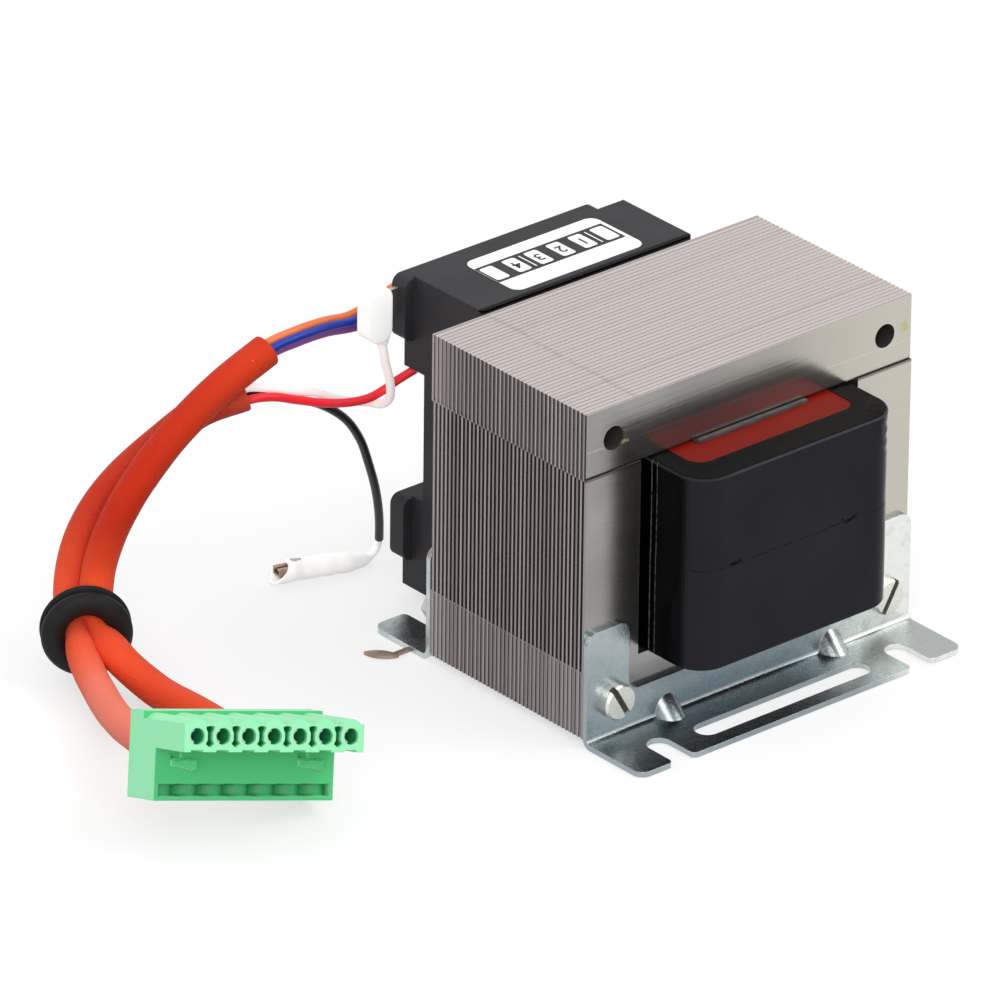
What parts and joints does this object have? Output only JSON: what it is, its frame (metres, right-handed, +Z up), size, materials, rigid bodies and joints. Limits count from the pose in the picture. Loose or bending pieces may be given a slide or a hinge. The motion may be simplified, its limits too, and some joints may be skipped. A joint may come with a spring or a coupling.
{
  "type": "transformer",
  "caption": "Open-frame mains transformer with a ridged E-I core, black wrapped coil, folded zinc feet, rear terminal housing and a sleeved lead set with a green plug.",
  "frame": {"origin": "on the surface that the transformer stands on, below the middle of the core", "axes": "+Z up; -Y is the core's front face, the side with the slotted screw heads; +X to the right of a viewer in front"},
  "size_m": [0.1583, 0.104, 0.064],
  "materials": {
    "core_steel": "varnished electrical steel sheet",
    "wedge_board": "grey pressed insulating strip",
    "former_plastic": "brick red moulded plastic",
    "winding_copper": "enamelled copper wire, drawn as a block",
    "insulation_film": "yellow insulating film",
    "wrap_film": "glossy blue-black film",
    "zinc_steel": "zinc plated, blue passivated",
    "tag_brass": "dull brown tin plated brass",
    "housing_plastic": "matt black moulded plastic",
    "tinned_tab": "tin plated",
    "cover_plastic": "soft translucent white plastic",
    "lead_orange": "orange wire insulation",
    "lead_blue": "blue wire insulation",
    "lead_violet": "violet wire insulation",
    "lead_red": "red wire insulation",
    "lead_white": "white wire insulation",
    "lead_black": "black wire insulation",
    "sleeve_textile": "orange-red woven glass sleeve with silicone coat",
    "grommet_rubber": "black rubber",
    "plug_plastic": "green moulded plastic"
  },
  "bodies": {
    "root": {"e_laminations": "core_steel", "i_bars_top": "core_steel", "i_bars_bottom": "core_steel", "core_wedges": "wedge_board", "winding_former": "former_plastic", "primary_winding": "winding_copper", "winding_insulation": "insulation_film", "secondary_winding": "winding_copper", "coil_wrap": "wrap_film", "front_bracket": "zinc_steel", "rear_bracket": "zinc_steel", "clamp_screws": "zinc_steel", "lock_washers": "zinc_steel", "clamp_nuts": "zinc_steel", "earth_tag": "tag_brass", "terminal_housing": "housing_plastic", "upper_tabs": "tinned_tab", "lower_tabs": "tinned_tab", "side_tab": "tinned_tab", "flag_terminal": "tinned_tab", "flag_cover": "cover_plastic", "lead_orange": "lead_orange", "lead_blue": "lead_blue", "lead_violet": "lead_violet", "lead_red": "lead_red", "lead_white": "lead_white", "lead_black": "lead_black", "sleeve_upper": "sleeve_textile", "sleeve_lower": "sleeve_textile", "grommet": "grommet_rubber", "plug_body": "plug_plastic", "plug_contacts": "tinned_tab", "plug_clamp_screws": "zinc_steel", "loose_terminal": "tag_brass", "loose_terminal_cover": "cover_plastic"}
  },
  "joints": []
}
